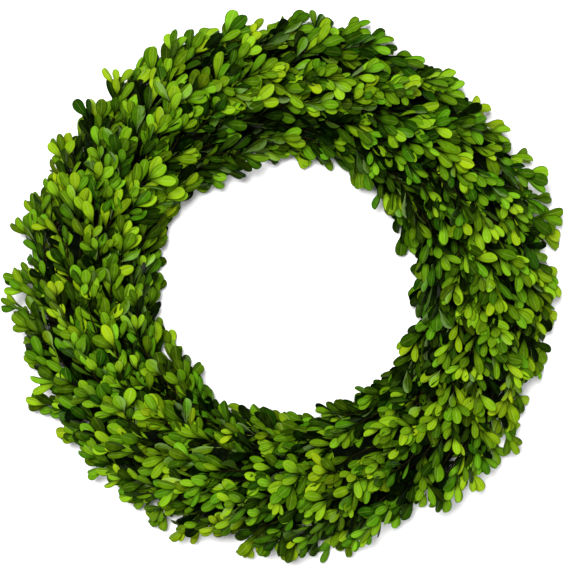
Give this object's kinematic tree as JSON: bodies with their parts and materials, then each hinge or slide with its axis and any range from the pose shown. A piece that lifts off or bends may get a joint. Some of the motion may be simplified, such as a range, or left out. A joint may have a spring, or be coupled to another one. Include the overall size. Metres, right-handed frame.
{
  "type": "boxwood wreath",
  "caption": "Round wreath of small-leaved boxwood bunches, wired clockwise round a welded wire ring frame, with an open middle; it lies on its back.",
  "frame": {"origin": "centre of the frame's rings, on the surface that the frame's cross bars rest on", "axes": "+Z out of the wreath's face, towards the viewer; +Y towards the top of the wreath as hung; the bunches run clockwise as seen from +Z"},
  "size_m": [0.5149, 0.5128, 0.1065],
  "materials": {
    "boxwood": "satin",
    "frame_wire": "satin",
    "binding_wire": "satin"
  },
  "bodies": {
    "root": {"wire_frame": "frame_wire", "binding_wire": "binding_wire", "bunch_outer_01": "boxwood", "bunch_outer_02": "boxwood", "bunch_outer_03": "boxwood", "bunch_outer_04": "boxwood", "bunch_outer_05": "boxwood", "bunch_outer_06": "boxwood", "bunch_outer_07": "boxwood", "bunch_outer_08": "boxwood", "bunch_outer_09": "boxwood", "bunch_outer_10": "boxwood", "bunch_outer_11": "boxwood", "bunch_outer_12": "boxwood", "bunch_outer_13": "boxwood", "bunch_outer_14": "boxwood", "bunch_outer_15": "boxwood", "bunch_outer_16": "boxwood", "bunch_outer_17": "boxwood", "bunch_outer_18": "boxwood", "bunch_face_01": "boxwood", "bunch_face_02": "boxwood", "bunch_face_03": "boxwood", "bunch_face_04": "boxwood", "bunch_face_05": "boxwood", "bunch_face_06": "boxwood", "bunch_face_07": "boxwood", "bunch_face_08": "boxwood", "bunch_face_09": "boxwood", "bunch_face_10": "boxwood", "bunch_face_11": "boxwood", "bunch_face_12": "boxwood", "bunch_face_13": "boxwood", "bunch_face_14": "boxwood", "bunch_face_15": "boxwood", "bunch_face_16": "boxwood", "bunch_face_17": "boxwood", "bunch_face_18": "boxwood", "bunch_inner_01": "boxwood", "bunch_inner_02": "boxwood", "bunch_inner_03": "boxwood", "bunch_inner_04": "boxwood", "bunch_inner_05": "boxwood", "bunch_inner_06": "boxwood", "bunch_inner_07": "boxwood", "bunch_inner_08": "boxwood", "bunch_inner_09": "boxwood", "bunch_inner_10": "boxwood", "bunch_inner_11": "boxwood", "bunch_inner_12": "boxwood", "bunch_inner_13": "boxwood", "bunch_inner_14": "boxwood", "bunch_inner_15": "boxwood", "bunch_inner_16": "boxwood", "bunch_inner_17": "boxwood", "bunch_inner_18": "boxwood"}
  },
  "joints": []
}
